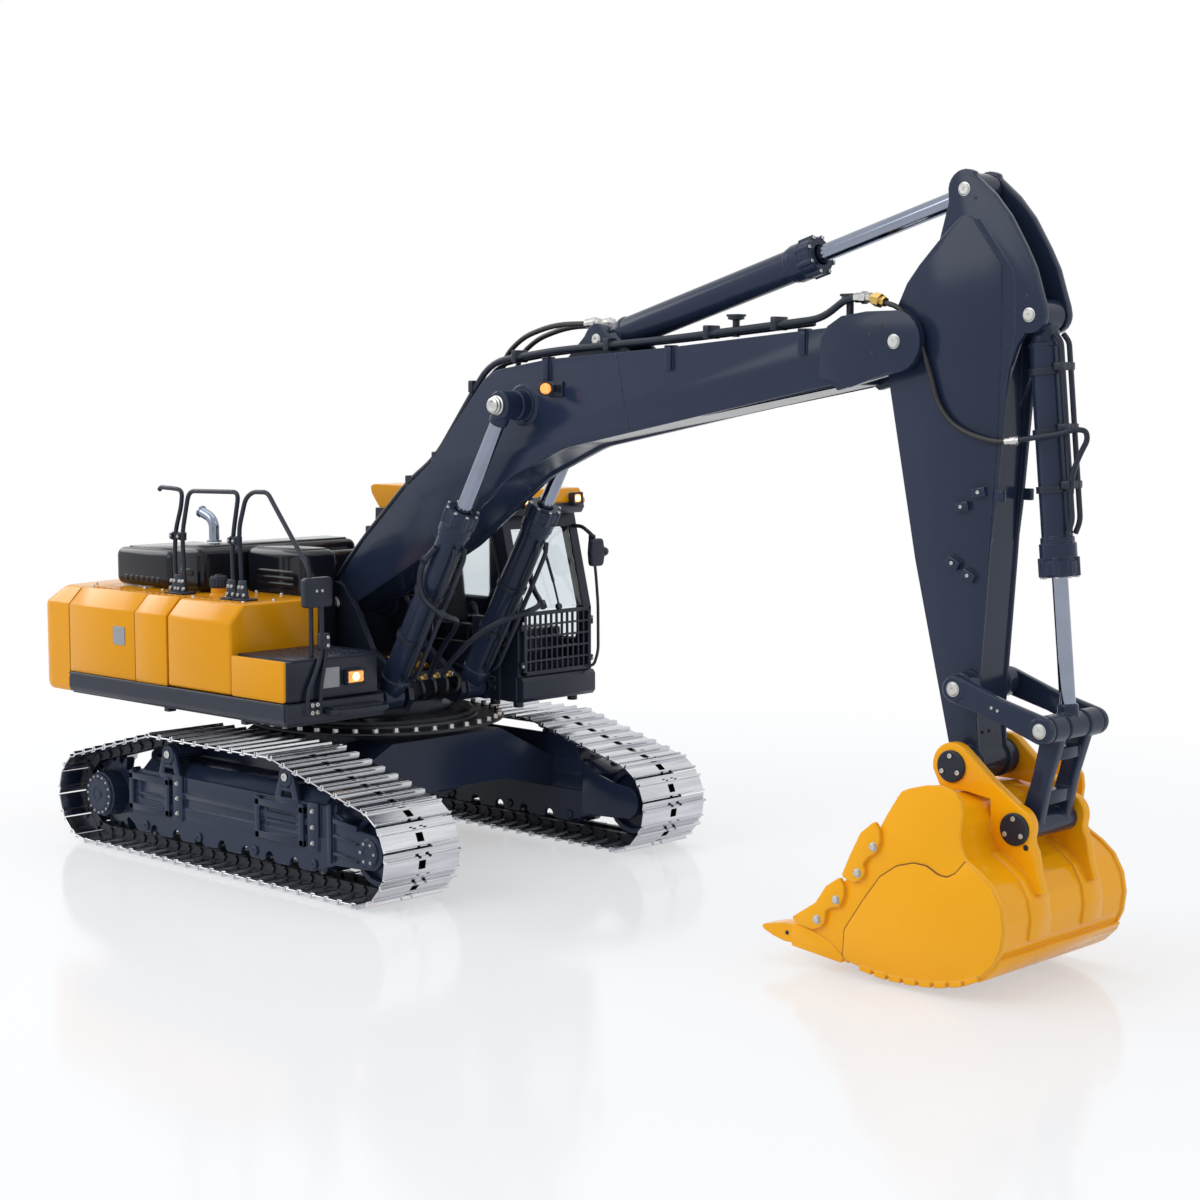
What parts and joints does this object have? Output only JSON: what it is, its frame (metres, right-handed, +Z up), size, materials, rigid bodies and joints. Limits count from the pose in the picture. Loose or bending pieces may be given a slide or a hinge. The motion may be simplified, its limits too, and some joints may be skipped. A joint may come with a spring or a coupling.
{
  "type": "rc excavator",
  "caption": "Radio-controlled crawler excavator with swinging upper body, cab, hydraulic boom, stick and bucket on steel tracks.",
  "frame": {"origin": "centre of the machine's bounding box, at the ground under the tracks", "axes": "+X forward along the tracks towards the bucket, +Y to the machine's left, +Z up"},
  "size_m": [0.747, 0.274, 0.408],
  "materials": {
    "amber_paint": "amber gloss paint",
    "battery_wrap": "battery wrap",
    "black_paint": "black satin paint",
    "brass": "brass",
    "bucket_paint": "yellow satin paint",
    "cast_iron": "dark cast iron",
    "chrome": "chromed rod",
    "clear_glass": "clear pane",
    "gloss_black": "gloss black",
    "lamp_lens": "warm lamp lens",
    "motor_can": "motor can",
    "navy_paint": "dark navy satin paint",
    "polished_steel": "polished steel",
    "seat_foam": "dark seat cover"
  },
  "bodies": {
    "undercarriage": {"car_body": "navy_paint", "slew_ring": "cast_iron", "left_track_frame": "navy_paint", "left_track": "polished_steel", "right_track_frame": "navy_paint", "right_track": "polished_steel"},
    "upper": {"revolving_frame": "black_paint", "counterweight": "amber_paint", "right_doors": "amber_paint", "left_door": "amber_paint", "hydraulic_tank": "amber_paint", "top_cover": "amber_paint", "step_box": "black_paint", "step_lamp": "lamp_lens", "engine_hood": "gloss_black", "exhaust": "chrome", "rear_handrail": "black_paint", "front_handrail": "black_paint", "right_mirror": "black_paint", "left_mirror": "black_paint", "cab_frame": "black_paint", "cab_roof": "amber_paint", "cab_guard": "black_paint", "front_window": "clear_glass", "operator_seat": "seat_foam", "pump_motor": "motor_can", "battery": "battery_wrap", "valve_block": "brass", "swing_motor": "motor_can"},
    "left_sprocket_body": {"left_sprocket": "navy_paint"},
    "left_idler_body": {"left_idler": "navy_paint"},
    "left_carrier_1_body": {"left_carrier_1": "navy_paint"},
    "left_carrier_2_body": {"left_carrier_2": "navy_paint"},
    "left_roller_1_body": {"left_roller_1": "navy_paint"},
    "left_roller_2_body": {"left_roller_2": "navy_paint"},
    "left_roller_3_body": {"left_roller_3": "navy_paint"},
    "left_roller_4_body": {"left_roller_4": "navy_paint"},
    "right_sprocket_body": {"right_sprocket": "navy_paint"},
    "right_idler_body": {"right_idler": "navy_paint"},
    "right_carrier_1_body": {"right_carrier_1": "navy_paint"},
    "right_carrier_2_body": {"right_carrier_2": "navy_paint"},
    "right_roller_1_body": {"right_roller_1": "navy_paint"},
    "right_roller_2_body": {"right_roller_2": "navy_paint"},
    "right_roller_3_body": {"right_roller_3": "navy_paint"},
    "right_roller_4_body": {"right_roller_4": "navy_paint"},
    "boom_body": {"boom": "navy_paint", "boom_pipe": "black_paint"},
    "left_boom_barrel_body": {"left_boom_barrel": "navy_paint"},
    "left_boom_rod_body": {"left_boom_rod": "chrome"},
    "right_boom_barrel_body": {"right_boom_barrel": "navy_paint"},
    "right_boom_rod_body": {"right_boom_rod": "chrome"},
    "stick_body": {"stick": "navy_paint", "stick_hose": "black_paint"},
    "stick_barrel_body": {"stick_barrel": "navy_paint"},
    "stick_rod_body": {"stick_rod": "chrome"},
    "bucket_body": {"bucket": "bucket_paint"},
    "rocker_body": {"rocker": "navy_paint"},
    "link_body": {"bucket_link": "navy_paint"},
    "bucket_barrel_body": {"bucket_barrel": "navy_paint"},
    "bucket_rod_body": {"bucket_rod": "chrome"}
  },
  "joints": [
    {"name": "swing", "type": "hinge", "parent": "undercarriage", "child": "upper", "pos_m": [-0.1595, 0, 0.097], "axis": [0, 0, 1], "continuous": true},
    {"name": "left_drive", "type": "hinge", "parent": "undercarriage", "child": "left_sprocket_body", "pos_m": [-0.2965, 0.108, 0.031], "axis": [0, 1, 0], "continuous": true},
    {"name": "left_idler_turn", "type": "hinge", "parent": "undercarriage", "child": "left_idler_body", "pos_m": [-0.0225, 0.108, 0.031], "axis": [0, 1, 0], "continuous": true},
    {"name": "left_carrier_1_turn", "type": "hinge", "parent": "undercarriage", "child": "left_carrier_1_body", "pos_m": [-0.0995, 0.108, 0.0672], "axis": [0, 1, 0], "continuous": true},
    {"name": "left_carrier_2_turn", "type": "hinge", "parent": "undercarriage", "child": "left_carrier_2_body", "pos_m": [-0.2195, 0.108, 0.0672], "axis": [0, 1, 0], "continuous": true},
    {"name": "left_roller_1_turn", "type": "hinge", "parent": "undercarriage", "child": "left_roller_1_body", "pos_m": [-0.0735, 0.108, 0.0163], "axis": [0, 1, 0], "continuous": true},
    {"name": "left_roller_2_turn", "type": "hinge", "parent": "undercarriage", "child": "left_roller_2_body", "pos_m": [-0.13083, 0.108, 0.0163], "axis": [0, 1, 0], "continuous": true},
    {"name": "left_roller_3_turn", "type": "hinge", "parent": "undercarriage", "child": "left_roller_3_body", "pos_m": [-0.18817, 0.108, 0.0163], "axis": [0, 1, 0], "continuous": true},
    {"name": "left_roller_4_turn", "type": "hinge", "parent": "undercarriage", "child": "left_roller_4_body", "pos_m": [-0.2455, 0.108, 0.0163], "axis": [0, 1, 0], "continuous": true},
    {"name": "right_drive", "type": "hinge", "parent": "undercarriage", "child": "right_sprocket_body", "pos_m": [-0.2965, -0.108, 0.031], "axis": [0, 1, 0], "continuous": true},
    {"name": "right_idler_turn", "type": "hinge", "parent": "undercarriage", "child": "right_idler_body", "pos_m": [-0.0225, -0.108, 0.031], "axis": [0, 1, 0], "continuous": true},
    {"name": "right_carrier_1_turn", "type": "hinge", "parent": "undercarriage", "child": "right_carrier_1_body", "pos_m": [-0.0995, -0.108, 0.0672], "axis": [0, 1, 0], "continuous": true},
    {"name": "right_carrier_2_turn", "type": "hinge", "parent": "undercarriage", "child": "right_carrier_2_body", "pos_m": [-0.2195, -0.108, 0.0672], "axis": [0, 1, 0], "continuous": true},
    {"name": "right_roller_1_turn", "type": "hinge", "parent": "undercarriage", "child": "right_roller_1_body", "pos_m": [-0.0735, -0.108, 0.0163], "axis": [0, 1, 0], "continuous": true},
    {"name": "right_roller_2_turn", "type": "hinge", "parent": "undercarriage", "child": "right_roller_2_body", "pos_m": [-0.13083, -0.108, 0.0163], "axis": [0, 1, 0], "continuous": true},
    {"name": "right_roller_3_turn", "type": "hinge", "parent": "undercarriage", "child": "right_roller_3_body", "pos_m": [-0.18817, -0.108, 0.0163], "axis": [0, 1, 0], "continuous": true},
    {"name": "right_roller_4_turn", "type": "hinge", "parent": "undercarriage", "child": "right_roller_4_body", "pos_m": [-0.2455, -0.108, 0.0163], "axis": [0, 1, 0], "continuous": true},
    {"name": "boom_lift", "type": "hinge", "parent": "upper", "child": "boom_body", "pos_m": [-0.1715, 0, 0.159], "axis": [0, -1, 0], "range_deg": [-22, 20]},
    {"name": "left_boom_barrel_swing", "type": "hinge", "parent": "upper", "child": "left_boom_barrel_body", "pos_m": [-0.1075, 0.035, 0.105], "axis": [0, 1, 0], "range_deg": [-19.97, 21.87]},
    {"name": "left_boom_rod_slide", "type": "slide", "parent": "left_boom_barrel_body", "child": "left_boom_rod_body", "axis": [0.5062, 0, 0.8624], "range_m": [-0.03245, 0.02959]},
    {"name": "right_boom_barrel_swing", "type": "hinge", "parent": "upper", "child": "right_boom_barrel_body", "pos_m": [-0.1075, -0.035, 0.105], "axis": [0, 1, 0], "range_deg": [-19.97, 21.87]},
    {"name": "right_boom_rod_slide", "type": "slide", "parent": "right_boom_barrel_body", "child": "right_boom_rod_body", "axis": [0.5062, 0, 0.8624], "range_m": [-0.03245, 0.02959]},
    {"name": "stick_swing", "type": "hinge", "parent": "boom_body", "child": "stick_body", "pos_m": [0.2725, 0, 0.323], "axis": [0, 1, 0], "range_deg": [-25, 28]},
    {"name": "stick_barrel_swing", "type": "hinge", "parent": "boom_body", "child": "stick_barrel_body", "pos_m": [0.0535, 0, 0.327], "axis": [0, 1, 0], "range_deg": [-6.2, 6.83]},
    {"name": "stick_rod_slide", "type": "slide", "parent": "stick_barrel_body", "child": "stick_rod_body", "axis": [0.9634, 0, 0.2682], "range_m": [-0.02727, 0.03042]},
    {"name": "bucket_curl", "type": "hinge", "parent": "stick_body", "child": "bucket_body", "pos_m": [0.3155, 0, 0.11], "axis": [0, 1, 0], "range_deg": [-30, 50]},
    {"name": "rocker_swing", "type": "hinge", "parent": "stick_body", "child": "rocker_body", "pos_m": [0.3155, 0, 0.149], "axis": [0, 1, 0], "range_deg": [-23.69, 38.82]},
    {"name": "link_swing", "type": "hinge", "parent": "rocker_body", "child": "link_body", "pos_m": [0.3665, 0, 0.133], "axis": [0, 1, 0], "range_deg": [-22.07, 13.64]},
    {"name": "bucket_barrel_swing", "type": "hinge", "parent": "stick_body", "child": "bucket_barrel_body", "pos_m": [0.3475, 0, 0.335], "axis": [0, 1, 0], "range_deg": [-3.84, 5.73]},
    {"name": "bucket_rod_slide", "type": "slide", "parent": "bucket_barrel_body", "child": "bucket_rod_body", "axis": [0.0936, 0, -0.9956], "range_m": [-0.0189, 0.03084]}
  ],
  "couplings": [
    {"joint": "left_idler_turn", "follows": "left_drive", "ratio": 1},
    {"joint": "left_carrier_1_turn", "follows": "left_drive", "ratio": 4.4},
    {"joint": "left_carrier_2_turn", "follows": "left_drive", "ratio": 4.4},
    {"joint": "left_roller_1_turn", "follows": "left_drive", "ratio": 3.3846},
    {"joint": "left_roller_2_turn", "follows": "left_drive", "ratio": 3.3846},
    {"joint": "left_roller_3_turn", "follows": "left_drive", "ratio": 3.3846},
    {"joint": "left_roller_4_turn", "follows": "left_drive", "ratio": 3.3846},
    {"joint": "right_idler_turn", "follows": "right_drive", "ratio": 1},
    {"joint": "right_carrier_1_turn", "follows": "right_drive", "ratio": 4.4},
    {"joint": "right_carrier_2_turn", "follows": "right_drive", "ratio": 4.4},
    {"joint": "right_roller_1_turn", "follows": "right_drive", "ratio": 3.3846},
    {"joint": "right_roller_2_turn", "follows": "right_drive", "ratio": 3.3846},
    {"joint": "right_roller_3_turn", "follows": "right_drive", "ratio": 3.3846},
    {"joint": "right_roller_4_turn", "follows": "right_drive", "ratio": 3.3846},
    {"joint": "left_boom_barrel_swing", "follows": "boom_lift", "ratio": -0.94871},
    {"joint": "left_boom_rod_slide", "follows": "boom_lift", "m_per_rad": 0.081894},
    {"joint": "right_boom_barrel_swing", "follows": "boom_lift", "ratio": -0.94871},
    {"joint": "right_boom_rod_slide", "follows": "boom_lift", "m_per_rad": 0.081894},
    {"joint": "stick_barrel_swing", "follows": "stick_swing", "ratio": 0.20814},
    {"joint": "stick_rod_slide", "follows": "stick_swing", "m_per_rad": 0.060203},
    {"joint": "rocker_swing", "follows": "bucket_curl", "ratio": 0.75635},
    {"joint": "link_swing", "follows": "bucket_curl", "ratio": -0.42131},
    {"joint": "bucket_barrel_swing", "follows": "bucket_curl", "ratio": 0.094508},
    {"joint": "bucket_rod_slide", "follows": "bucket_curl", "m_per_rad": 0.034194}
  ]
}
